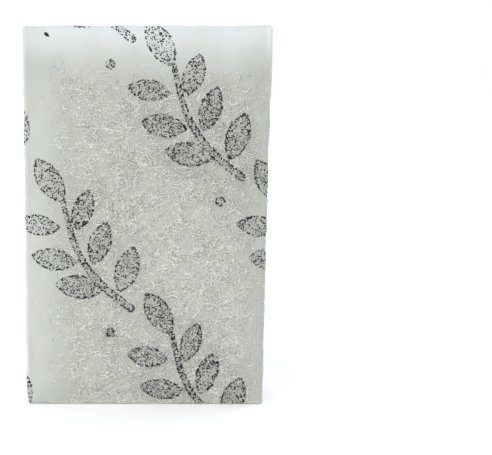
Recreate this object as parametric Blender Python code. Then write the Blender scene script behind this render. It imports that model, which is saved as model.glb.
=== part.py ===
"""A scouring pad: one block of lofty non-woven fibre web, cut square from a roll.

It stands on one short end. X runs across the pad, Y through its thickness and Z up its length.
The origin is the centre of the end that it stands on, and every size is in metres.
"""

import math

import bmesh
import bpy
from mathutils import Vector, noise

# The cut block
PAD_WIDTH = 0.095
PAD_THICKNESS = 0.027
PAD_LENGTH = 0.151

# The cut edges: the corners as the front view shows them, and how deep the rims are rounded
CORNER_RADIUS = 0.0016
RIM_DEPTH = 0.0030

# The blade squeezes the web as it cuts, so both broad faces fall away towards the cut sides
SHOULDER_WIDTH = 0.011
SHOULDER_DROP = 0.0017

# Hollows between the tufts of the web, which the rollers left at one level
HOLLOW_SPACING = 0.0125
HOLLOW_DEPTH = 0.0011

# The blade's slow wander along the cut sides
WANDER_SPACING = 0.060
WANDER_DEPTH = 0.0008

# The end that it stands on is flat, and the relief begins above it
CLEAN_END = 0.008

# Spacing of the surface's facets, and the angles at which a rounded edge is cut into facets
FACET_SIZE = 0.0050
EDGE_ANGLES = (15.0, 30.0)

WEB_COLOUR = (0.58, 0.61, 0.53, 1.0)
WEB_ROUGHNESS = 0.95

HALF = Vector((PAD_WIDTH / 2, PAD_THICKNESS / 2, PAD_LENGTH / 2))
RADII = Vector((CORNER_RADIUS, RIM_DEPTH, CORNER_RADIUS))


def clear_scene():
    for thing in list(bpy.data.objects):
        bpy.data.objects.remove(thing)


def smooth_step(share):
    """0 up to a share of 0, 1 from a share of 1, and an even S between them."""
    share = min(1.0, max(0.0, share))
    return share * share * (3.0 - 2.0 * share)


def stations(half, radius):
    """Where the facets' borders cross one axis: even steps on the flat, closer in each rounded edge."""
    flat = half - radius
    steps = max(2, round(2.0 * flat / FACET_SIZE))
    on_flat = [flat * (2.0 * step / steps - 1.0) for step in range(steps + 1)]
    in_edge = [flat + radius * math.tan(math.radians(angle)) for angle in EDGE_ANGLES]
    return [-place for place in in_edge] + on_flat + in_edge


def faceted_block():
    """The plain block, centred on the origin, with its six sides cut into a grid of facets."""
    block = bmesh.new()
    bmesh.ops.create_cube(block, size=2.0)
    bmesh.ops.scale(block, vec=HALF, verts=block.verts)
    for axis in range(3):
        normal = Vector((0.0, 0.0, 0.0))
        normal[axis] = 1.0
        for place in stations(HALF[axis], RADII[axis]):
            bmesh.ops.bisect_plane(
                block,
                geom=block.verts[:] + block.edges[:] + block.faces[:],
                plane_co=normal * place,
                plane_no=normal,
            )
    return block


def rounded(point):
    """A point of the plain block moved onto its rounded edges, with the way the surface faces there."""
    core = Vector(
        max(radius - half, min(half - radius, place))
        for place, half, radius in zip(point, HALF, RADII)
    )
    outwards = Vector(
        (place - middle) / radius for place, middle, radius in zip(point, core, RADII)
    ).normalized()
    return core + outwards * RADII, outwards


def squeezed(point):
    """The share of its thickness that the pad has lost here, from the squeeze at the nearest cut side."""
    to_side = min(HALF.x - abs(point.x), HALF.z - abs(point.z))
    return (1.0 - smooth_step(to_side / SHOULDER_WIDTH)) * SHOULDER_DROP / HALF.y


def relief(point, outwards):
    """How far the surface lies inside the pressed and cut planes."""
    hollow = max(0.0, noise.noise(point / HOLLOW_SPACING)) * HOLLOW_DEPTH
    wander = (0.5 + 0.5 * noise.noise(point / WANDER_SPACING)) * WANDER_DEPTH
    on_cut_side = 1.0 - outwards.y**2
    above_end = smooth_step((point.z + HALF.z) / CLEAN_END)
    return (hollow + wander * on_cut_side) * above_end


def shape_web(block):
    for vertex in block.verts:
        point, outwards = rounded(vertex.co)
        inwards = relief(point, outwards)
        point.y *= 1.0 - squeezed(point)
        point -= outwards * inwards
        vertex.co = point + Vector((0.0, 0.0, HALF.z))


def web_material():
    material = bpy.data.materials.new("fibre_web")
    material.use_nodes = True
    shader = material.node_tree.nodes["Principled BSDF"]
    shader.inputs["Base Color"].default_value = WEB_COLOUR
    shader.inputs["Roughness"].default_value = WEB_ROUGHNESS
    shader.inputs["Metallic"].default_value = 0.0
    return material


def scouring_pad():
    block = faceted_block()
    shape_web(block)
    mesh = bpy.data.meshes.new("scouring_pad")
    block.to_mesh(mesh)
    block.free()
    mesh.shade_smooth()
    mesh.materials.append(web_material())
    pad = bpy.data.objects.new("scouring_pad", mesh)
    bpy.context.scene.collection.objects.link(pad)
    return pad


clear_scene()
scouring_pad()
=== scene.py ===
import itertools
import math

import bmesh
import bpy
import numpy as np
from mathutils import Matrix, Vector


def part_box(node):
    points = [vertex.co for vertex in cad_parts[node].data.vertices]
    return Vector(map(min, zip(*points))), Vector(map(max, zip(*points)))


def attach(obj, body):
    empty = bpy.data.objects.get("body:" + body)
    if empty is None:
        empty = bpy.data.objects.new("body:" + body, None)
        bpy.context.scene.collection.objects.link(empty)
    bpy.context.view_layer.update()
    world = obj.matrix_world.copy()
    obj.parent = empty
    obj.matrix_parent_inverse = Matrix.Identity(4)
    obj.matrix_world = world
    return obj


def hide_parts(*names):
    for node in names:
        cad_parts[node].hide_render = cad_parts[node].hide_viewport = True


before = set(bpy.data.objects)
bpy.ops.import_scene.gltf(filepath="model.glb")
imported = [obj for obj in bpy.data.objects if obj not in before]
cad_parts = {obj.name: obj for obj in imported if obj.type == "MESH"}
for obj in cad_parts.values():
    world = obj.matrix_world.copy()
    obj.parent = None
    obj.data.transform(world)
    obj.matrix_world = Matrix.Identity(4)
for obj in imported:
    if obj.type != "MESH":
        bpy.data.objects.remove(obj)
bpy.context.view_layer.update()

# A lofty non-woven scouring pad that stands on one short end.
# Metres: X runs across the pad, Y through its thickness and Z up its length.
# The core is one closed skin with the web's tufts and pits, and loose fibres lie over it.

padLow, padHigh = (np.array(corner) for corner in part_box("scouring_pad"))
half = (padHigh - padLow) / 2
middle = (padHigh + padLow) / 2

web = {
    "cornerRadius": 0.0012,    # of the corners as the front shows them
    "rimDepth": 0.0030,        # how deep the rims of the broad faces are rounded
    "shoulderWidth": 0.011,    # strip beside each cut that the blade squeezed
    "shoulderDrop": (0.0017, 0.0009),    # at the bottom and at the top
    "hollowSpacing": 0.0125,   # slow hollows in the broad faces
    "hollowDepth": 0.0007,
    # how far the hand-cut sides stand past the plain block, at these heights and places across the top
    "sideHeights": (0.000, 0.020, 0.040, 0.060, 0.080, 0.100, 0.118, 0.128, 0.151),
    "leftOut": (0.0009, 0.0013, 0.0011, 0.0009, 0.0009, 0.0010, 0.0010, 0.0006, 0.0006),
    "rightOut": (0.0006, 0.0004, 0.0003, 0.0005, 0.0006, 0.0009, 0.0012, 0.0013, 0.0013),
    "topPlaces": (-0.0475, -0.0350, 0.0000, 0.0475),
    "topOut": (-0.0003, 0.0001, 0.0005, 0.0009),
    "wanderSpacing": 0.055,    # slow wander of the cut sides
    "wanderDepth": 0.0004,
    "dipSpacing": 0.0055,      # dips between the lumps of the cut sides
    "dipDepth": 0.0008,
    "cutHollow": 0.0003,       # how much deeper the cut sides lie between their rims
    "dipFrom": 0.002,          # from this far inside the faces' planes, and in full this much further in
    "dipReach": 0.007,
    "tuftSpacing": 0.0032,
    "tuftHeight": 0.00020,
    "pitSpacing": 0.0015,
    "pitDepth": 0.00045,
    "feltCalm": 0.85,          # share of the tufts and pits that the felt takes away
    "cleanEnd": 0.008,         # the end that it stands on stays flat
    "gridStep": 0.00085,
    "weld": 0.00002,           # points closer than this become one
    "sliver": 0.00001,         # and edges shorter than this go
    "fill": 0.8,               # a firm pad
}

# Where the web is pressed to felt, whose paler, cooler tone is partly painted light from above and the left:
# how far from each cut it reaches, and its share there
feltAndPaintedLight = {
    "topReach": 0.038,
    "leftReach": 0.033,
    "leftShare": 0.70,
    "rightReach": 0.014,
    "rightShare": 0.58,
    "driftSpacing": 0.016,
    "drift": 0.0035,
    "onCut": 0.30,             # what is left of it in the middle of the cut sides
    "topCutFrom": 0.0010,      # the sides count as sides from this far below the top, over this length
    "topCutFade": 0.0025,
    "rimFrom": 0.0065,         # the rims begin this far from the middle of the thickness
    "rimReach": 0.0050,
    "rimDriftSpacing": 0.0060,
    "rimDrift": 0.0022,
    "rimShare": 0.60,
    "rimInwards": 0.0020,      # how far from the cuts the rims are still felt
    "turn": 0.5,               # a surface turned this far from the broad faces belongs to a cut side
    "roundOver": 0.35,         # a rim that faces the front or the back by less than this is less pale, with less painted light
    "roundLoss": 0.6,
    "lampLoss": 0.6,           # and so is one that faces left, towards the lamps
}

radii = np.array([web["cornerRadius"], web["rimDepth"], web["cornerRadius"]])


def smooth(share):
    # 0 up to a share of 0, 1 from a share of 1, and 3s^2 - 2s^3 between them
    share = np.clip(share, 0.0, 1.0)
    return share * share * (3.0 - 2.0 * share)


lattice = {
    "arrows": 4096,
    "scatter": (73856093, 19349663, 83492791),    # large primes, so that near cells draw unlike arrows
    "gain": 1.5,
}


def webNoise(points, spacing, seed):
    # Gradient noise from about -1 to 1. Each corner of a lattice cell holds a seeded unit arrow. The arrow
    # times the way from its corner is mixed over all eight corners by 6t^5 - 15t^4 + 10t^3 along each axis.
    arrows = np.random.default_rng(seed).normal(size=(lattice["arrows"], 3))
    arrows /= np.linalg.norm(arrows, axis=1, keepdims=True)
    places = points / spacing
    cell = np.floor(places).astype(np.int64)
    inside = places - cell
    ease = inside**3 * (inside * (inside * 6.0 - 15.0) + 10.0)
    total = np.zeros(places.shape[:-1])
    for corner in itertools.product((0, 1), repeat=3):
        corner = np.array(corner)
        chosen = ((cell + corner) * lattice["scatter"]).sum(axis=-1) % lattice["arrows"]
        weight = np.where(corner == 1, ease, 1.0 - ease).prod(axis=-1)
        total += weight * (arrows[chosen] * (inside - corner)).sum(axis=-1)
    return total * lattice["gain"]


def rimShare(points):
    # 1 on the broad faces and the rims, and 0 in the middle of the cut sides, with an uneven line between
    # them: smooth((distance from the middle of the thickness + drift - rimFrom) / rimReach)
    drift = webNoise(points, feltAndPaintedLight["rimDriftSpacing"], 17) * feltAndPaintedLight["rimDrift"]
    return smooth((abs(points[..., 1]) + drift - feltAndPaintedLight["rimFrom"]) / feltAndPaintedLight["rimReach"])


def feltAndLightShare(points):
    # How far the web is pressed to felt, from 0 to 1, at points that count from the pad's middle. It is the
    # greatest of share * (1 - smooth((distance + drift) / reach)) at the top, the left and the right cut, and
    # of the rims'. In the middle of the thickness it falls to onCut, the top's only on the top cut itself.
    # The felt's pale tone in the materials is partly painted light from above and the left.
    drift = webNoise(points, feltAndPaintedLight["driftSpacing"], 16) * feltAndPaintedLight["drift"]
    rim = rimShare(points)
    toTop = half[2] - points[..., 2]
    toLeft = half[0] + points[..., 0]
    toRight = half[0] - points[..., 0]
    belowTop = smooth((toTop - feltAndPaintedLight["topCutFrom"]) / feltAndPaintedLight["topCutFade"])
    onCut = feltAndPaintedLight["onCut"] + (1.0 - feltAndPaintedLight["onCut"]) * rim
    onSide = feltAndPaintedLight["onCut"] + (1.0 - feltAndPaintedLight["onCut"]) * np.maximum(rim, belowTop)
    top = 1.0 - smooth((toTop + drift) / feltAndPaintedLight["topReach"])
    left = feltAndPaintedLight["leftShare"] * (1.0 - smooth((toLeft + drift) / feltAndPaintedLight["leftReach"]))
    right = feltAndPaintedLight["rightShare"] * (1.0 - smooth((toRight + drift) / feltAndPaintedLight["rightReach"]))
    toCut = np.minimum(half[0] - abs(points[..., 0]), half[2] - abs(points[..., 2]))
    onRim = feltAndPaintedLight["rimShare"] * rim * (1.0 - smooth(toCut / feltAndPaintedLight["rimInwards"]))
    return np.maximum(np.maximum(top * onSide, np.maximum(left, right) * onCut), onRim)


def cutShares(points, outwards):
    # How far the surface has turned to a cut side, from 0 on the broad faces to 1, and the rims' share of
    # that. Both are 0 underneath. The rims' pale tone is painted light: palest where they round over, and
    # less so on the left, where the lamps light them.
    turn = smooth((1.0 - abs(outwards[..., 1])) / feltAndPaintedLight["turn"])
    cut = turn * (1.0 - np.maximum(-outwards[..., 2], 0.0))
    pale = 1.0 - feltAndPaintedLight["roundLoss"] * smooth(1.0 - abs(outwards[..., 1]) / feltAndPaintedLight["roundOver"])
    lampSide = 1.0 - feltAndPaintedLight["lampLoss"] * np.maximum(-outwards[..., 0], 0.0)
    return cut, cut * rimShare(points) * pale * lampSide


def webSkin(boxPoints, fine=True):
    # A point of the plain box, moved onto the web's skin, with the way that the skin faces there.
    # point = core + outwards * radii, where core is the box point held inside the rounded edges. Its depth is
    # then scaled by 1 - squeeze near the cuts. It goes inwards by the hollows, and on the cut sides by the
    # wander and, off the rims, the dips. It goes outwards by what the hand cut left on. The fine skin adds
    # tufts and takes off pits, fewer in the felt. Towards the end that the pad stands on it all fades out.
    core = np.clip(boxPoints, -(half - radii), half - radii)
    outwards = (boxPoints - core) / radii
    outwards /= np.linalg.norm(outwards, axis=-1, keepdims=True)
    points = core + outwards * radii
    toSide = np.minimum(half[0] - abs(points[..., 0]), half[2] - abs(points[..., 2]))
    drop = np.interp(points[..., 2], (-half[2], half[2]), web["shoulderDrop"])
    squeeze = (1.0 - smooth(toSide / web["shoulderWidth"])) * drop / half[1]
    onCut = 1.0 - outwards[..., 1] ** 2
    inwards = np.maximum(0.0, webNoise(points, web["hollowSpacing"], 11)) * web["hollowDepth"]
    inwards += (0.5 + 0.5 * webNoise(points, web["wanderSpacing"], 12)) * web["wanderDepth"] * onCut
    offRims = smooth((half[1] - abs(points[..., 1]) - web["dipFrom"]) / web["dipReach"])
    dips = np.maximum(0.0, webNoise(points, web["dipSpacing"], 13)) * web["dipDepth"]
    inwards += (dips + web["cutHollow"]) * onCut * offRims
    leftOut = np.interp(points[..., 2] + half[2], web["sideHeights"], web["leftOut"])
    rightOut = np.interp(points[..., 2] + half[2], web["sideHeights"], web["rightOut"])
    topOut = np.interp(points[..., 0], web["topPlaces"], web["topOut"])
    inwards -= leftOut * np.maximum(-outwards[..., 0], 0.0) + rightOut * np.maximum(outwards[..., 0], 0.0)
    inwards -= topOut * np.maximum(outwards[..., 2], 0.0)
    if fine:
        loose = 1.0 - web["feltCalm"] * feltAndLightShare(points)
        inwards -= webNoise(points, web["tuftSpacing"], 14) * web["tuftHeight"] * loose
        inwards += np.maximum(0.0, webNoise(points, web["pitSpacing"], 15)) * web["pitDepth"] * loose
    aboveEnd = smooth((points[..., 2] + half[2]) / web["cleanEnd"])
    points[..., 1] *= 1.0 - squeeze
    points -= outwards * (inwards * aboveEnd)[..., None]
    return points + middle, outwards


# The print: leafy sprigs in a staggered repeat, cut off wherever the pad was cut

sprig = {
    "columnPitch": 0.086,
    "rowPitch": 0.053,
    "lean": 122.0,             # degrees from +X to the tip
    "stemLength": 0.050,
    "stemWidth": 0.0036,
    "stemTaper": 0.35,         # share of its width that it loses by the tip
    "stemBend": 0.0060,
    "leafPairs": 3,
    "firstPair": 0.16,         # the lowest pair's place, and the way from it to the highest's, on a stem of 1
    "pairsSpan": 0.60,
    "pairStagger": 0.002,      # the two leaves of a pair stand this far off its place, one up and one down
    "leafLength": 0.0205,
    "leafWidth": 0.0100,
    "leafTaper": 0.20,         # share of its size that a leaf would lose at the tip
    "leafAngle": 50.0,         # degrees between a leaf and its stem
    "leafGap": 0.0030,         # between the stem's line and a leaf
    "berryPlace": (-0.004, 0.012),    # along and across the stem, from its foot
    "berryRadius": 0.0021,
    "reach": 0.048,            # no part of a sprig is further than this from its stem's middle
    "farthest": 0.02,          # the distance given where no sprig is near
    "rows": (-2, 5),
    "columns": (-2, 3),
    "frontStart": (-0.006, 0.040),
    "backStart": (0.020, 0.030),
    "sideTurn": 0.55,          # the print runs out where less than this of the skin's facing is along Y
    "sideGain": 0.02,          # metres of distance added for each unit less
}


def turned(x, z, degrees):
    # the point as seen from axes that are turned by that angle
    angle = math.radians(degrees)
    return x * math.cos(angle) + z * math.sin(angle), z * math.cos(angle) - x * math.sin(angle)


def leafDistance(along, across, length, width):
    # Signed distance to a pointed leaf, the overlap of two equal circles. Its tips are at 0 and length. It
    # is the way to the farther circle's centre less the radius, or past the tips the way to the nearer tip.
    along = abs(along - length / 2)
    across = abs(across)
    radius = (length**2 / 4 + width**2 / 4) / width
    offset = radius - width / 2
    toTip = np.hypot(along - length / 2, across)
    toArc = np.hypot(along, across + offset) - radius
    return np.where((along - length / 2) * offset > across * length / 2, toTip, toArc)


def stemPlace(share):
    # the stem's line: straight up its length, with a sideways bend of sin(pi * share)
    return share * sprig["stemLength"], math.sin(math.pi * share) * sprig["stemBend"]


def stemDistance(along, across):
    # The bend is slight, so the way straight across to the stem's line, less its half width, is near enough.
    share = np.clip(along / sprig["stemLength"], 0.0, 1.0)
    beside = across - np.sin(math.pi * share) * sprig["stemBend"]
    beyond = along - share * sprig["stemLength"]
    return np.hypot(beyond, beside) - sprig["stemWidth"] / 2 * (1.0 - sprig["stemTaper"] * share)


def sprigDistance(along, across):
    # the least of the stem's, the leaves' and the berry's distances
    nearest = stemDistance(along, across)
    for pair in range(sprig["leafPairs"]):
        share = sprig["firstPair"] + sprig["pairsSpan"] * pair / (sprig["leafPairs"] - 1)
        footAlong, footAcross = stemPlace(share)
        size = 1.0 - sprig["leafTaper"] * share
        for side in (-1, 1):
            leafAlong = along - footAlong - side * sprig["pairStagger"]
            x, z = turned(leafAlong, across - footAcross, side * sprig["leafAngle"])
            length, width = sprig["leafLength"] * size, sprig["leafWidth"] * size
            leaf = leafDistance(x - sprig["leafGap"], z, length, width)
            nearest = np.minimum(nearest, leaf)
    tipAlong, tipAcross = stemPlace(1.0)
    tip = leafDistance(along - tipAlong, across - tipAcross, sprig["leafLength"], sprig["leafWidth"])
    berryAlong, berryAcross = sprig["berryPlace"]
    berry = np.hypot(along - berryAlong, across - berryAcross) - sprig["berryRadius"]
    return np.minimum(np.minimum(nearest, tip), berry)


def sprigFeet():
    # where the repeat puts the feet of the sprigs, each second row half a column further on
    for row in range(*sprig["rows"]):
        for column in range(*sprig["columns"]):
            yield (column + (row % 2) / 2) * sprig["columnPitch"], row * sprig["rowPitch"]


def printDistance(points, outwards):
    # Signed distance in metres from the print's edge, below 0 inside it: the least of the sprigs'
    # distances. On the back it runs the other way across. The cut sides carry no print past their rims,
    # because the distance grows as the skin turns away from the broad faces.
    front = outwards[..., 1] <= 0.0
    startX = np.where(front, sprig["frontStart"][0], sprig["backStart"][0])
    startZ = np.where(front, sprig["frontStart"][1], sprig["backStart"][1])
    x = np.where(front, points[..., 0], -points[..., 0]) - startX
    z = points[..., 2] - startZ
    nearest = np.full(x.shape, sprig["farthest"])
    lean = math.radians(sprig["lean"])
    halfStem = sprig["stemLength"] / 2
    for footX, footZ in sprigFeet():
        fromMiddle = np.hypot(x - footX - halfStem * math.cos(lean), z - footZ - halfStem * math.sin(lean))
        near = fromMiddle < sprig["reach"]
        along, across = turned(x[near] - footX, z[near] - footZ, sprig["lean"])
        nearest[near] = np.minimum(nearest[near], sprigDistance(along, across))
    return nearest + np.maximum(0.0, sprig["sideTurn"] - abs(outwards[..., 1])) * sprig["sideGain"]


# Where the web is duller, and where shade is painted along the right cut and at the foot: how far from each
# place it reaches, and its share there
dullingAndShade = {
    "printReach": 0.010,
    "printShare": 0.7,
    "cornerWidth": 0.012,
    "cornerFrom": 0.015,       # how far below the top it begins to fade, and over what length
    "cornerFade": 0.030,
    # painted contact shadow along the end that the pad stands on
    "footShadeReach": 0.003,
    # painted shade along the right cut
    "rightReach": 0.007,
    "rightShare": 0.8,
    "rightFrom": 0.006,        # how far below the top it begins, and over what length it comes in
    "rightFade": 0.020,
}

# The upper right corner is thin enough for the light behind it to come through
glow = {
    "turn": 0.6,               # how far its rim has to turn to the right
    "from": 0.003,             # how far below the top it begins to fade, and over what length
    "fade": 0.012,
}


def skinValues(points, outwards):
    # What the materials read at each point. The web is duller round the print, except where it is felt, and
    # also at the upper left corner, and has painted shade along the right cut and at the foot, each as
    # 1 - smooth(distance / reach). Dull is the greatest. Lit is smooth(the part to the right of the skin's
    # facing / turn) at the top of the rims.
    centred = points - middle
    toTop = half[2] - centred[..., 2]
    distance = printDistance(points, outwards)
    feltAndLight = feltAndLightShare(centred)
    cut, rim = cutShares(centred, outwards)
    haze = (1.0 - smooth(distance / dullingAndShade["printReach"])) * (1.0 - feltAndLight) * dullingAndShade["printShare"]
    corner = 1.0 - smooth((centred[..., 0] + half[0]) / dullingAndShade["cornerWidth"])
    corner *= 1.0 - smooth((toTop - dullingAndShade["cornerFrom"]) / dullingAndShade["cornerFade"])
    # painted contact shadow along the foot
    footShade = 1.0 - smooth((centred[..., 2] + half[2]) / dullingAndShade["footShadeReach"])
    # painted shade along the right cut
    right = (1.0 - smooth((half[0] - centred[..., 0]) / dullingAndShade["rightReach"])) * dullingAndShade["rightShare"]
    right *= smooth((toTop - dullingAndShade["rightFrom"]) / dullingAndShade["rightFade"])
    dullAndShade = np.maximum(np.maximum(haze, right), np.maximum(corner, footShade))
    lit = smooth(outwards[..., 0] / glow["turn"]) * rimShare(centred)
    lit *= 1.0 - smooth((toTop - glow["from"]) / glow["fade"])
    return {"printDistance": distance, "feltAndLight": feltAndLight, "cut": cut, "rim": rim, "dullAndShade": dullAndShade, "lit": lit}


def meshPiece(name, points, corners, mapPlaces, values, material):
    # a mesh from arrays: points (n, 3), corners (faces, 3 or 4), and a map place and point values to match
    mesh = bpy.data.meshes.new(name)
    faceCount, sides = corners.shape
    mesh.vertices.add(len(points))
    mesh.vertices.foreach_set("co", points.astype(np.float32).ravel())
    mesh.loops.add(faceCount * sides)
    mesh.loops.foreach_set("vertex_index", corners.astype(np.int32).ravel())
    mesh.polygons.add(faceCount)
    mesh.polygons.foreach_set("loop_start", np.arange(0, faceCount * sides, sides, dtype=np.int32))
    mesh.update(calc_edges=True)
    mesh.uv_layers.new(name="OFBake").data.foreach_set("uv", mapPlaces.astype(np.float32).ravel())
    for attribute, numbers in values.items():
        layer = mesh.attributes.new(attribute, "FLOAT", "POINT")
        layer.data.foreach_set("value", numbers.astype(np.float32).ravel())
    mesh.materials.append(material)
    piece = bpy.data.objects.new(name, mesh)
    bpy.context.scene.collection.objects.link(piece)
    return piece


def finishPiece(piece):
    piece.data.shade_smooth()
    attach(piece, "root")
    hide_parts("scouring_pad")
    print(piece.name, len(piece.data.polygons), "faces")


# Materials

palette = {
    # the core's two tones, darker than the fibres', are painted shade deep in the web below the loose fibres
    "shadedDeepWeb": (0.405, 0.416, 0.374),
    "shadedMidWeb": (0.530, 0.541, 0.496),
    "dullFibre": (0.774, 0.790, 0.737),
    "paleFibre": (1.000, 1.000, 0.970),
    "warmPatch": (1.000, 0.992, 0.955),
    # painted shade: the web higher up is a little darker, as if the floor lit the lower web more
    "upperShade": (0.950, 0.950, 0.950),
    "cutWeb": (0.700, 0.706, 0.652),
    # the felt's paler, cooler tone: partly real pressed felt, partly painted light from above and the left
    "feltAndLight": (0.624, 0.645, 0.652),
    # the rims' pale tone is painted light
    "rim": (0.645, 0.668, 0.668),
    "litRim": (0.750, 0.770, 0.785),
    # the dull tone, which also paints shade along the right cut and at the foot
    "dullAndShade": (0.895, 0.895, 0.905),
    "ink": (0.012, 0.013, 0.014),
    "thinInk": (0.018, 0.020, 0.019),
}


def addNode(tree, kind, place, **settings):
    node = tree.nodes.new(kind)
    node.location = place
    for name, value in settings.items():
        setattr(node, name, value)
    return node


def setInputs(node, **values):
    for name, value in values.items():
        node.inputs[name].default_value = value
    return node


def mixColours(tree, place, share, first, second, blend="MIX"):
    # colour mix whose share and sides are sockets or plain colours
    node = addNode(tree, "ShaderNodeMix", place, data_type="RGBA", blend_type=blend)
    for socket, value in ((node.inputs[0], share), (node.inputs[6], first), (node.inputs[7], second)):
        if isinstance(value, bpy.types.NodeSocket):
            tree.links.new(value, socket)
        else:
            socket.default_value = (*value, 1.0) if isinstance(value, tuple) else value
    return node.outputs[2]


def maths(tree, place, operation, *values):
    node = addNode(tree, "ShaderNodeMath", place, operation=operation)
    for socket, value in zip(node.inputs, values):
        if isinstance(value, bpy.types.NodeSocket):
            tree.links.new(value, socket)
        else:
            socket.default_value = value
    return node.outputs[0]


def ramp(tree, place, value, fromLow, fromHigh, toLow=0.0, toHigh=1.0):
    # toLow up to fromLow, toHigh from fromHigh, and an even S between them
    node = addNode(tree, "ShaderNodeMapRange", place, interpolation_type="SMOOTHSTEP")
    tree.links.new(value, node.inputs["Value"])
    for socket, number in zip(list(node.inputs)[1:5], (fromLow, fromHigh, toLow, toHigh)):
        if isinstance(number, bpy.types.NodeSocket):
            tree.links.new(number, socket)
        else:
            socket.default_value = number
    return node.outputs["Result"]


def noiseFac(tree, place, vector, scale, detail=2.0, roughness=0.5, **settings):
    node = addNode(tree, "ShaderNodeTexNoise", place, **settings)
    setInputs(node, Scale=scale, Detail=detail, Roughness=roughness)
    tree.links.new(vector, node.inputs["Vector"])
    return node.outputs[0]


def swing(tree, place, vector, scale, detail):
    # the noise's swing round its middle, from -0.5 to 0.5
    noise = noiseFac(tree, place, vector, scale, detail)
    return maths(tree, (place[0] + 200, place[1]), "SUBTRACT", noise, 0.5)


def newGroup(name, inputs, outputs):
    group = bpy.data.node_groups.new(name, "ShaderNodeTree")
    for socketName, kind in inputs:
        group.interface.new_socket(name=socketName, in_out="INPUT", socket_type=kind)
    for socketName, kind in outputs:
        group.interface.new_socket(name=socketName, in_out="OUTPUT", socket_type=kind)
    source = addNode(group, "NodeGroupInput", (-900, 0))
    result = addNode(group, "NodeGroupOutput", (900, 0))
    return group, source, result


inkLook = {
    "edgeNoise": 900.0,        # scales are waves or cells in a metre
    "edgeRagged": 0.0012,
    "edgeSoft": -0.00015,      # the print's edge fades over this
    "outlineFrom": -0.0010,    # the outline is dark as far in as the second of these, and gone by the first
    "outlineTo": -0.0006,
    "dotCells": 1450.0,
    "dotDepth": 0.2,           # the dots are five times as long inwards, since the ink soaks in
    "dashNoise": 800.0,
    "patchNoise": 260.0,
    "dotReach": 0.43,          # radius of a dot, in cells, before the gains below
    "dotEdge": 0.07,
    "outlineGain": 0.17,
    "dashGain": 0.50,
    "patchGain": 0.20,
    "fibreGain": 0.06,
    "wash": 0.10,              # the thin film of ink between the dots
    "roughness": 1.0,
}

# the one solid blot: half its extent, its turn about Y in degrees, and the shares of it where it fades
speck = {
    "place": (-0.0385, -0.0135, 0.1472),
    "size": (0.00105, 0.020, 0.00080),
    "turn": 35.0,
    "fade": (1.05, 0.85),
}


def makeInkGroup():
    # Ink sits where fibres cross, so it breaks into dots. A dot lies round each cell's point, and its radius
    # is dotReach plus the outline, the patches, the dashes and the fibre's take, each times its gain. A thin
    # film lies between the dots, and nothing past the ragged edge. One stray blot is solid.
    group, source, result = newGroup(
        "printedInk",
        [("Position", "NodeSocketVector"), ("Distance", "NodeSocketFloat"), ("Take", "NodeSocketFloat")],
        [("Mask", "NodeSocketFloat"), ("Outline", "NodeSocketFloat")],
    )
    position, distance, take = source.outputs[0], source.outputs[1], source.outputs[2]
    ragged = swing(group, (-800, 300), position, inkLook["edgeNoise"], detail=1.0)
    shifted = maths(group, (-450, 300), "MULTIPLY_ADD", ragged, inkLook["edgeRagged"], distance)
    inside = ramp(group, (-300, 300), shifted, 0.0, inkLook["edgeSoft"])
    outline = ramp(group, (-300, 100), shifted, inkLook["outlineFrom"], inkLook["outlineTo"])
    dashes = swing(group, (-800, -500), position, inkLook["dashNoise"], detail=0.0)
    patches = swing(group, (-800, -300), position, inkLook["patchNoise"], detail=1.0)
    reach = maths(group, (-300, -100), "MULTIPLY_ADD", outline, inkLook["outlineGain"], inkLook["dotReach"])
    reach = maths(group, (-150, -100), "MULTIPLY_ADD", patches, inkLook["patchGain"], reach)
    reach = maths(group, (0, -100), "MULTIPLY_ADD", dashes, inkLook["dashGain"], reach)
    reach = maths(group, (150, -100), "MULTIPLY_ADD", take, inkLook["fibreGain"], reach)
    through = addNode(group, "ShaderNodeVectorMath", (-1000, -100), operation="MULTIPLY")
    group.links.new(position, through.inputs[0])
    through.inputs[1].default_value = (1.0, inkLook["dotDepth"], 1.0)
    dots = addNode(group, "ShaderNodeTexVoronoi", (-800, -100), feature="F1")
    setInputs(dots, Scale=inkLook["dotCells"])
    group.links.new(through.outputs[0], dots.inputs["Vector"])
    full = maths(group, (250, -200), "SUBTRACT", reach, inkLook["dotEdge"])
    specks = ramp(group, (350, 0), dots.outputs["Distance"], reach, full)
    film = maths(group, (450, 0), "MAXIMUM", specks, inkLook["wash"])
    printed = maths(group, (550, 100), "MULTIPLY", inside, film)
    toBlot = addNode(group, "ShaderNodeMapping", (-800, 600), vector_type="TEXTURE")
    setInputs(toBlot, Location=speck["place"], Scale=speck["size"])
    setInputs(toBlot, Rotation=(0.0, math.radians(speck["turn"]), 0.0))
    group.links.new(position, toBlot.inputs["Vector"])
    fromBlot = addNode(group, "ShaderNodeVectorMath", (-600, 600), operation="LENGTH")
    group.links.new(toBlot.outputs[0], fromBlot.inputs[0])
    away = maths(group, (-300, 600), "ADD", ragged, fromBlot.outputs["Value"])
    blot = ramp(group, (-100, 600), away, *speck["fade"])
    group.links.new(maths(group, (650, 200), "MAXIMUM", printed, blot), result.inputs["Mask"])
    group.links.new(maths(group, (650, 0), "MAXIMUM", outline, blot), result.inputs["Outline"])
    return group


webLook = {
    "patchNoise": 70.0,        # scales are waves in a metre
    "patchFrom": 0.35,
    "patchTo": 0.65,
    "upperShadeFrom": 0.045,        # heights between which the tone turns to that of the upper web, a painted shade
    "upperShadeTo": 0.100,
    "tangleNoise": 1100.0,
    "tangleTo": 0.20,
    "calmFelt": 0.4,           # the share of felt that leaves nothing of the tangle
    "calmTone": 0.15,          # the tone there, from the deep web's to the middle one's
    "cutShare": 0.5,           # how far the cut sides turn to their own tone
    "feltAndLightPower": 3.0,          # the felt's colour, which is partly painted light, comes in late
    "bumpStrength": 0.4,
    "bumpDistance": 0.0002,
    "coreRoughness": 0.9,
    "fibreRoughness": 0.38,
}


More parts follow.
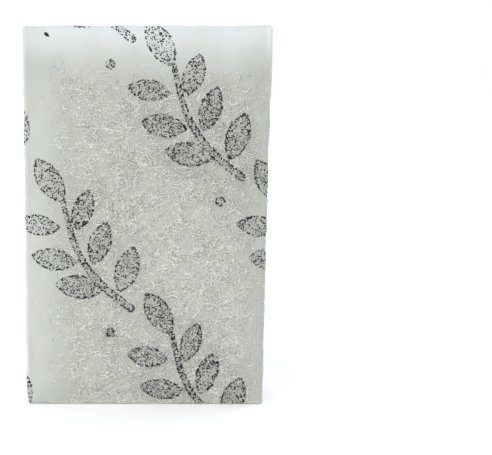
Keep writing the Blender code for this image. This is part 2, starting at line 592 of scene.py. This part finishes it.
def makeWebGroup():
    # The web's tone, in slow patches and a little duller higher up, which is painted shade standing for more
    # light from the floor lower down, and a fine tangle of ridges
    group, source, result = newGroup(
        "webTangle",
        [("Position", "NodeSocketVector")],
        [("PatchAndUpperShade", "NodeSocketColor"), ("Tangle", "NodeSocketFloat")],
    )
    position = source.outputs[0]
    patch = noiseFac(group, (-600, 200), position, webLook["patchNoise"], detail=3.0)
    ridges = {"detail": 3.0, "roughness": 0.6, "noise_type": "RIDGED_MULTIFRACTAL", "normalize": True}
    tangle = noiseFac(group, (-600, -100), position, webLook["tangleNoise"], **ridges)
    warmth = ramp(group, (0, 200), patch, webLook["patchFrom"], webLook["patchTo"])
    height = addNode(group, "ShaderNodeSeparateXYZ", (-600, 400))
    group.links.new(position, height.inputs[0])
    upper = ramp(group, (0, 400), height.outputs["Z"], webLook["upperShadeFrom"], webLook["upperShadeTo"])
    tone = mixColours(group, (300, 200), warmth, (1.0, 1.0, 1.0), palette["warmPatch"])
    upperShadedTone = mixColours(group, (400, 400), 1.0, tone, palette["upperShade"], "MULTIPLY")
    tone = mixColours(group, (500, 300), upper, tone, upperShadedTone)
    group.links.new(tone, result.inputs["PatchAndUpperShade"])
    group.links.new(ramp(group, (0, -100), tangle, 0.0, webLook["tangleTo"]), result.inputs["Tangle"])
    return group


inkGroup = makeInkGroup()
webGroup = makeWebGroup()


def placeGroup(tree, group, place, **links):
    node = addNode(tree, "ShaderNodeGroup", place, node_tree=group)
    for name, socket in links.items():
        tree.links.new(socket, node.inputs[name])
    return node


def pointValue(tree, place, name):
    return addNode(tree, "ShaderNodeAttribute", place, attribute_name=name).outputs["Fac"]


def newMaterial(name, roughness):
    material = bpy.data.materials.new(name)
    material.use_nodes = True
    tree = material.node_tree
    shader = tree.nodes["Principled BSDF"]
    shader.inputs["Roughness"].default_value = roughness
    position = addNode(tree, "ShaderNodeTexCoord", (-1500, 0)).outputs["Object"]
    return material, tree, shader, position


def feltAndLightOver(tree, feltAndLight, tone, patch):
    # the web's tone, turned to the felt's, which is partly painted light, to the rims', which is painted
    # light, and to the lit rims' painted glow, and then times the patches and the painted shade higher up
    edge = maths(tree, (-900, 0), "POWER", feltAndLight, webLook["feltAndLightPower"])
    tone = mixColours(tree, (-700, 100), edge, tone, palette["feltAndLight"])
    tone = mixColours(tree, (-600, 0), pointValue(tree, (-900, -150), "rim"), tone, palette["rim"])
    tone = mixColours(tree, (-550, 0), pointValue(tree, (-750, -150), "lit"), tone, palette["litRim"])
    return mixColours(tree, (-500, 200), 1.0, tone, patch, "MULTIPLY")


def inkOver(tree, shader, position, take, plain):
    # The shader's colour is the plain one, duller where the point value says so, with the print's dots over
    # it. That value also paints shade along the right cut and at the foot. The ink is rougher. A fibre with a
    # high take holds larger dots.
    distance = pointValue(tree, (-900, -300), "printDistance")
    ink = placeGroup(tree, inkGroup, (-500, -300), Position=position, Distance=distance)
    if take is not None:
        tree.links.new(take, ink.inputs["Take"])
    mask = ink.outputs["Mask"]
    inkColour = mixColours(tree, (-300, -300), ink.outputs["Outline"], palette["thinInk"], palette["ink"])
    dullAndShade = pointValue(tree, (-500, 0), "dullAndShade")
    dulledAndShaded = mixColours(tree, (-300, 0), dullAndShade, plain, palette["dullAndShade"], "MULTIPLY")
    tree.links.new(mixColours(tree, (-100, 0), mask, dulledAndShaded, inkColour), shader.inputs["Base Color"])
    plainRoughness = shader.inputs["Roughness"].default_value
    roughness = ramp(tree, (-100, -300), mask, 0.0, 1.0, plainRoughness, inkLook["roughness"])
    tree.links.new(roughness, shader.inputs["Roughness"])


def makeCoreMaterial():
    # The tangle's tone, from deep to middle and darker than the fibres' as painted shade deep in the web,
    # which is even where the web is felted, as the bump is too
    material, tree, shader, position = newMaterial("webCore", webLook["coreRoughness"])
    tangle = placeGroup(tree, webGroup, (-1200, 200), Position=position)
    feltAndLight = pointValue(tree, (-1200, -100), "feltAndLight")
    calm = ramp(tree, (-1200, -300), feltAndLight, 0.0, webLook["calmFelt"])
    rough = ramp(tree, (-1200, -500), feltAndLight, 0.0, webLook["calmFelt"], 1.0, 0.0)
    relief = maths(tree, (-1000, -300), "MULTIPLY", tangle.outputs["Tangle"], rough)
    shown = maths(tree, (-1200, 100), "MULTIPLY_ADD", calm, webLook["calmTone"], relief)
    tone = mixColours(tree, (-1100, 200), shown, palette["shadedDeepWeb"], palette["shadedMidWeb"])
    cut = maths(tree, (-1000, 50), "MULTIPLY", pointValue(tree, (-1200, 50), "cut"), webLook["cutShare"])
    tone = mixColours(tree, (-900, 200), cut, tone, palette["cutWeb"])
    tone = feltAndLightOver(tree, feltAndLight, tone, tangle.outputs["PatchAndUpperShade"])
    inkOver(tree, shader, position, None, tone)
    bump = addNode(tree, "ShaderNodeBump", (-200, -500))
    setInputs(bump, Strength=webLook["bumpStrength"], Distance=webLook["bumpDistance"])
    tree.links.new(relief, bump.inputs["Height"])
    tree.links.new(bump.outputs["Normal"], shader.inputs["Normal"])
    return material


def makeFibreMaterial():
    # glossier than the web below, and each fibre has its own tint from dull to pale
    material, tree, shader, position = newMaterial("webFibre", webLook["fibreRoughness"])
    tangle = placeGroup(tree, webGroup, (-1200, 400), Position=position)
    tint = pointValue(tree, (-1200, 200), "fibreTint")
    feltAndLight = pointValue(tree, (-1200, -100), "feltAndLight")
    tone = mixColours(tree, (-900, 200), tint, palette["dullFibre"], palette["paleFibre"])
    tone = feltAndLightOver(tree, feltAndLight, tone, tangle.outputs["PatchAndUpperShade"])
    inkOver(tree, shader, position, tint, tone)
    return material


coreMaterial = makeCoreMaterial()
fibreMaterial = makeFibreMaterial()
print("materials made")


# The core

def boxSurface(u, v):
    # The plain box as one closed surface. u from 0 to 1 goes once round the section, from the middle of the
    # back. v runs from the bottom's middle line over the rim, up the side and over the top to its own line.
    # On the two ends the section shrinks evenly to that line: x by 1 - (1 - t) * depth / width, and y by t.
    wide, deep, tall = half
    sides = np.cumsum([0.0, wide, 2 * deep, 2 * wide, 2 * deep, wide])
    run = u * sides[-1]
    x = np.interp(run, sides, [0.0, -wide, -wide, wide, wide, 0.0])
    y = np.interp(run, sides, [deep, deep, -deep, -deep, deep, deep])
    climb = np.cumsum([0.0, deep, 2 * tall, deep])
    rise = v * climb[-1]
    z = np.interp(rise, climb, [-tall, -tall, tall, tall])
    spread = np.interp(rise, climb, [0.0, 1.0, 1.0, 0.0])
    return np.stack([x * (1.0 - (1.0 - spread) * deep / wide), y * spread, z], axis=-1)


def makeCore():
    # The box's surface on a grid of about gridStep, moved onto the skin. The grid's ends meet in the two
    # middle lines, where its doubled points are welded.
    wide, deep, tall = half
    columns = 2 * round(2 * (wide + deep) / web["gridStep"])
    rows = round((2 * tall + 2 * deep) / web["gridStep"])
    u, v = np.meshgrid(np.arange(columns) / columns, np.arange(rows + 1) / rows, indexing="ij")
    points, outwards = webSkin(boxSurface(u, v))
    column, row = np.meshgrid(np.arange(columns), np.arange(rows), indexing="ij")
    column, row = column.ravel(), row.ravel()
    after = (column + 1) % columns
    across = rows + 1
    here, there = column * across + row, after * across + row
    corners = np.stack([here, there, there + 1, here + 1], axis=-1)
    mapU = np.stack([column, column + 1, column + 1, column], axis=-1) / columns
    mapV = np.stack([row, row, row + 1, row + 1], axis=-1) / rows
    mapPlaces = np.stack([mapU, mapV], axis=-1)
    values = skinValues(points, outwards)
    core = meshPiece("web_core", points.reshape(-1, 3), corners, mapPlaces, values, coreMaterial)
    welded = bmesh.new()
    welded.from_mesh(core.data)
    bmesh.ops.remove_doubles(welded, verts=welded.verts, dist=web["weld"])
    bmesh.ops.dissolve_degenerate(welded, edges=welded.edges, dist=web["sliver"])
    bmesh.ops.recalc_face_normals(welded, faces=welded.faces)
    bmesh.ops.triangulate(welded, faces=welded.faces)
    welded.to_mesh(core.data)
    welded.free()
    finishPiece(core)


makeCore()


# The fibres

fibre = {
    "seed": 100,
    "sides": 3,
    "radius": (0.00009, 0.00020),
    "radiusPower": 1.4,
    "curl": 0.40,              # spread of the turn at each segment, in radians
    "bendShare": 0.6,          # of that, the shares that a whole fibre has and that each segment has
    "kinkShare": 0.5,
    "flatten": 0.75,           # the web was carded along X, so more of them lie that way
    "sunkEnd": -0.00030,
    "lift": (0.00005, 0.00055),
    "archPower": 0.6,
    "loopShare": 0.05,
    "loopLift": 0.0011,        # the highest loop, and the share of it that the lowest has
    "loopLeast": 0.5,
    "feltSink": 0.0013,        # how far the felt draws them in
    "feltSinksFrom": 0.60,     # the share of felt at which the last fibre sinks, and the rest before it
    "sinkPower": 1.6,          # more of them sink early
    "sinkOver": 0.15,
    "bareSpacing": 0.0050,     # patches where the rollers pressed them in
    "bareFrom": 0.05,
    "bareReach": 0.35,
    "bareShare": 0.55,
    "feltPress": 0.70,         # how much of their lift the felt takes
    "cutPress": 0.75,          # and how much the blade took on the cut sides
    "floorFrom": 0.0005,       # they leave the skin from this height above the standing end, over this length
    "floorFade": 0.004,
    "tintPower": 2.4,          # few of them are pale
    "mapColumns": 16,
    "mapMargin": 0.06,         # round each fibre's own part of the map
    "mapSpan": 0.88,
}

# Fibres lie along the broad faces. On the cut sides most are short, since the blade went through them.
faceKind = {"segments": 4, "length": (0.0017, 0.0072), "lengthPower": 1.6}
cutKind = {"segments": 4, "length": (0.0016, 0.0085), "lengthPower": 2.2}

# For each piece, the kind of its fibres, and the box sides that they lie on: axis, direction and how many
fibreBeds = {
    "front_fibres_under": (faceKind, [(1, -1, 10500)]),
    "front_fibres_over": (faceKind, [(1, -1, 10500)]),
    "back_fibres": (faceKind, [(1, 1, 10500)]),
    "side_fibres": (cutKind, [(0, -1, 5300), (0, 1, 5300)]),
    "end_fibres": (cutKind, [(2, 1, 3400), (2, -1, 1600)]),
}


def foldedPoint(axis, sign, p, q):
    # A place on one side of the box, where what runs past an edge of that side goes on over the edge.
    pAxis, qAxis = [other for other in range(3) if other != axis]
    past = np.maximum(np.maximum(abs(p) - half[pAxis], abs(q) - half[qAxis]), 0.0)
    points = np.empty((*p.shape, 3))
    points[..., pAxis] = np.clip(p, -half[pAxis], half[pAxis])
    points[..., qAxis] = np.clip(q, -half[qAxis], half[qAxis])
    points[..., axis] = sign * (half[axis] - past)
    return points


def fibreLines(rng, kind, axis, sign, count):
    # The line of each fibre: it heads any way, turns a little at each step, and lies on the skin with both
    # ends sunk. Its height above the skin is sunkEnd + (lift - sunkEnd) * sin(pi * share)^archPower, less
    # what the felt draws in. The places on the skin are returned too, for the values that materials read.
    pAxis, qAxis = [other for other in range(3) if other != axis]
    steps = kind["segments"]
    shortest, longest = kind["length"]
    length = shortest + (longest - shortest) * rng.random(count) ** kind["lengthPower"]
    heading = rng.uniform(0.0, 2.0 * math.pi, count)
    bend = rng.normal(0.0, fibre["curl"], (count, 1)) * fibre["bendShare"]
    kinks = rng.normal(0.0, fibre["curl"], (count, steps)) * fibre["kinkShare"]
    angle = heading[:, None] + np.cumsum(bend + kinks, axis=1)
    stepLength = (length / steps)[:, None]
    zero = np.zeros((count, 1))
    p = np.hstack([zero, np.cumsum(np.cos(angle) * stepLength, axis=1)])
    q = np.hstack([zero, np.cumsum(np.sin(angle) * stepLength * fibre["flatten"], axis=1)])
    p += (rng.uniform(-half[pAxis], half[pAxis], count) - p[:, steps // 2])[:, None]
    q += (rng.uniform(-half[qAxis], half[qAxis], count) - q[:, steps // 2])[:, None]
    onSkin, outwards = webSkin(foldedPoint(axis, sign, p, q), fine=False)
    loops = rng.random(count) < fibre["loopShare"]
    loopLift = rng.uniform(fibre["loopLeast"], 1.0, count) * fibre["loopLift"]
    lift = np.where(loops, loopLift, rng.uniform(*fibre["lift"], count))
    share = np.linspace(0.0, 1.0, steps + 1)
    arch = np.sin(math.pi * share) ** fibre["archPower"]
    height = fibre["sunkEnd"] + (lift[:, None] - fibre["sunkEnd"]) * arch
    sinksFrom = rng.random((count, 1)) ** fibre["sinkPower"] * fibre["feltSinksFrom"]
    bare = smooth((webNoise(onSkin, fibre["bareSpacing"], 21) - fibre["bareFrom"]) / fibre["bareReach"])
    pressed = np.maximum(feltAndLightShare(onSkin - middle), bare * fibre["bareShare"])
    height -= fibre["feltSink"] * smooth((pressed - sinksFrom) / fibre["sinkOver"])
    aboveFloor = smooth((onSkin[..., 2] - fibre["floorFrom"]) / fibre["floorFade"])
    byBlade = 1.0 - fibre["cutPress"] * (1.0 - outwards[..., 1] ** 2)
    byFelt = 1.0 - fibre["feltPress"] * pressed
    height = np.where(height > 0.0, height * (byBlade * byFelt), height)
    lines = onSkin + outwards * (height * aboveFloor)[..., None]
    lines[..., 2] = np.maximum(lines[..., 2], fibre["radius"][1])
    return lines, outwards, onSkin


def fibreTubes(rng, lines, outwards):
    # The points of a tube round each line. Its rings stand at the inner points of the line, at centre +
    # radius * (cos(a) * sideways + sin(a) * upwards), and it closes to a point at both ends.
    count = len(lines)
    along = np.gradient(lines, axis=1)
    along /= np.linalg.norm(along, axis=-1, keepdims=True)
    sideways = np.cross(outwards, along)
    sideways /= np.linalg.norm(sideways, axis=-1, keepdims=True)
    upwards = np.cross(along, sideways)
    sides = fibre["sides"]
    angles = math.pi / 2 + np.arange(sides) * 2.0 * math.pi / sides
    thinnest, thickest = fibre["radius"]
    radius = thinnest + (thickest - thinnest) * rng.random(count) ** fibre["radiusPower"]
    across = np.cos(angles)[:, None] * sideways[:, 1:-1, None]
    above = np.sin(angles)[:, None] * upwards[:, 1:-1, None]
    rings = lines[:, 1:-1, None] + radius[:, None, None, None] * (across + above)
    return np.concatenate([lines[:, :1], rings.reshape(count, -1, 3), lines[:, -1:]], axis=1)


def tubePattern(rings, sides):
    # corners of one tube's triangles, and their places along and round the tube from 0 to 1
    corners, places = [], []
    last = 1 + rings * sides
    for side in range(sides):
        after = (side + 1) % sides
        low, high, mid = side / sides, (side + 1) / sides, (side + 0.5) / sides
        step = 1.0 / (rings + 1)
        corners.append((0, 1 + after, 1 + side))
        places.append(((0.0, mid), (step, high), (step, low)))
        for ring in range(rings - 1):
            here, there = 1 + ring * sides, 1 + (ring + 1) * sides
            near, far = (ring + 1) * step, (ring + 2) * step
            corners.append((here + side, here + after, there + after))
            places.append(((near, low), (near, high), (far, high)))
            corners.append((here + side, there + after, there + side))
            places.append(((near, low), (far, high), (far, low)))
        end = 1 + (rings - 1) * sides
        corners.append((end + side, end + after, last))
        places.append(((1.0 - step, low), (1.0 - step, high), (1.0, mid)))
    return np.array(corners), np.array(places)


def makeFibres(pieceName, kind, beds, seed):
    # One piece from all its beds. Each tube's points read the values of their place on the line, and each
    # tube has its own cell of the map, in rows of mapColumns.
    rng = np.random.default_rng(seed)
    sides, segments, columns = fibre["sides"], kind["segments"], fibre["mapColumns"]
    linePlace = np.concatenate([[0], np.repeat(np.arange(1, segments), sides), [segments]])
    bedTubes, bedValues = [], []
    for axis, sign, count in beds:
        lines, outwards, onSkin = fibreLines(rng, kind, axis, sign, count)
        bedTubes.append(fibreTubes(rng, lines, outwards))
        bedValues.append(skinValues(onSkin, outwards))
    tubes = np.concatenate(bedTubes)
    values = {name: np.concatenate([bed[name][:, linePlace] for bed in bedValues]) for name in bedValues[0]}
    count, pointsEach = tubes.shape[:2]
    corners, places = tubePattern(segments - 1, sides)
    allCorners = (np.arange(count) * pointsEach)[:, None, None] + corners
    cell = np.stack([np.arange(count) % columns, np.arange(count) // columns], axis=-1)
    inCell = fibre["mapMargin"] + fibre["mapSpan"] * places
    mapPlaces = (cell[:, None, None, :] + inCell) / (columns, math.ceil(count / columns))
    values["fibreTint"] = np.repeat(rng.random(count) ** fibre["tintPower"], pointsEach)
    allCorners, allPoints = allCorners.reshape(-1, 3), tubes.reshape(-1, 3)
    piece = meshPiece(pieceName, allPoints, allCorners, mapPlaces, values, fibreMaterial)
    finishPiece(piece)


for order, (pieceName, (kind, beds)) in enumerate(fibreBeds.items()):
    makeFibres(pieceName, kind, beds, fibre["seed"] + order)


# Stage, light and camera

stage = {
    "floorSize": 6.0,
    "floorColour": (0.80, 0.80, 0.80),
    "nearGlow": 0.20,          # how strongly the floor glows where it is seen, near the pad and further off
    "farGlow": 1.0,
    "glowFrom": 0.25,
    "glowTo": 0.9,
    "skyColour": (0.94, 0.97, 1.0),
    "skyLight": 0.95,
}


def isSeen(tree, place):
    # 1 for rays from the camera, and for those that a gloss or a glass sends on
    path = addNode(tree, "ShaderNodeLightPath", place)
    camera, gloss, glass = (path.outputs[f"Is {ray} Ray"] for ray in ("Camera", "Glossy", "Transmission"))
    seen = maths(tree, (place[0] + 200, place[1]), "MAXIMUM", camera, gloss)
    return maths(tree, (place[0] + 400, place[1]), "MAXIMUM", seen, glass)


def makeFloor():
    mesh = bpy.data.meshes.new("floor")
    reach = stage["floorSize"] / 2
    corners = [(-reach, -reach, 0.0), (reach, -reach, 0.0), (reach, reach, 0.0), (-reach, reach, 0.0)]
    mesh.from_pydata(corners, [], [(0, 1, 2, 3)])
    material = bpy.data.materials.new("paleFloor")
    material.use_nodes = True
    tree = material.node_tree
    shader = tree.nodes["Principled BSDF"]
    shader.inputs["Base Color"].default_value = (*stage["floorColour"], 1.0)
    shader.inputs["Roughness"].default_value = 1.0
    shader.inputs["Specular IOR Level"].default_value = 0.0
    shader.inputs["Emission Color"].default_value = (1.0, 1.0, 1.0, 1.0)
    place = addNode(tree, "ShaderNodeTexCoord", (-1200, -400)).outputs["Object"]
    away = addNode(tree, "ShaderNodeVectorMath", (-1000, -400), operation="LENGTH")
    tree.links.new(place, away.inputs[0])
    reaches = (stage["glowFrom"], stage["glowTo"], stage["nearGlow"], stage["farGlow"])
    fade = ramp(tree, (-800, -400), away.outputs["Value"], *reaches)
    strength = maths(tree, (-300, -200), "MULTIPLY", isSeen(tree, (-900, -200)), fade)
    tree.links.new(strength, shader.inputs["Emission Strength"])
    mesh.materials.append(material)
    floor = bpy.data.objects.new("floor", mesh)
    bpy.context.scene.collection.objects.link(floor)


def makeSky():
    sky = bpy.data.worlds.new("studio")
    bpy.context.scene.world = sky
    sky.use_nodes = True
    tree = sky.node_tree
    tree.nodes.clear()
    seen = isSeen(tree, (-900, 200))
    colour = mixColours(tree, (-300, 200), seen, stage["skyColour"], (1.0, 1.0, 1.0))
    background = addNode(tree, "ShaderNodeBackground", (0, 0))
    tree.links.new(colour, background.inputs["Color"])
    strength = ramp(tree, (-300, -100), seen, 0.0, 1.0, stage["skyLight"], 1.0)
    tree.links.new(strength, background.inputs["Strength"])
    output = addNode(tree, "ShaderNodeOutputWorld", (200, 0))
    tree.links.new(background.outputs[0], output.inputs[0])


lamps = {
    "key": {"place": (-0.42, -0.42, 0.80), "size": 0.40, "power": 1.25, "colour": (1.0, 1.0, 1.0)},
    "fill": {"place": (-0.45, -0.60, 0.08), "size": 0.70, "power": 4.35, "colour": (1.0, 0.995, 0.98)},
    "behind": {"place": (0.75, 0.70, 0.50), "size": 0.80, "power": 4.5, "colour": (1.0, 1.0, 1.0)},
}


def makeLamps():
    target = Vector((0.0, 0.0, padHigh[2] / 2))
    for name, lamp in lamps.items():
        light = bpy.data.lights.new(name, "AREA")
        light.shape = "SQUARE"
        light.size = lamp["size"]
        light.energy = lamp["power"]
        light.color = lamp["colour"]
        carrier = bpy.data.objects.new(name, light)
        carrier.location = lamp["place"]
        carrier.rotation_euler = (target - carrier.location).to_track_quat("-Z", "Y").to_euler()
        bpy.context.scene.collection.objects.link(carrier)


view = {
    "place": (0.0007, -0.4488, 0.1417),
    "yaw": 1.24,               # degrees to the right of +Y
    "pitch": 8.99,             # degrees below the level
    "roll": 0.48,
    "lens": 82.0,
    "sensor": 36.0,
    "shiftX": 0.15,
    "nearest": 0.01,
    "farthest": 20.0,
}


def makeCamera():
    camera = bpy.data.cameras.new("photoView")
    camera.lens = view["lens"]
    camera.sensor_width = view["sensor"]
    camera.shift_x = view["shiftX"]
    camera.clip_start = view["nearest"]
    camera.clip_end = view["farthest"]
    carrier = bpy.data.objects.new("photoView", camera)
    carrier.location = view["place"]
    yaw, pitch, roll = (math.radians(view[name]) for name in ("yaw", "pitch", "roll"))
    ahead = Vector((math.sin(yaw) * math.cos(pitch), math.cos(yaw) * math.cos(pitch), -math.sin(pitch)))
    carrier.rotation_euler = ahead.to_track_quat("-Z", "Y").to_euler()
    carrier.rotation_euler.rotate_axis("Z", roll)
    bpy.context.scene.collection.objects.link(carrier)
    bpy.context.scene.camera = carrier


makeFloor()
makeSky()
makeLamps()
makeCamera()
bpy.context.scene.view_settings.view_transform = "Standard"
print("stage, lamps and camera made")
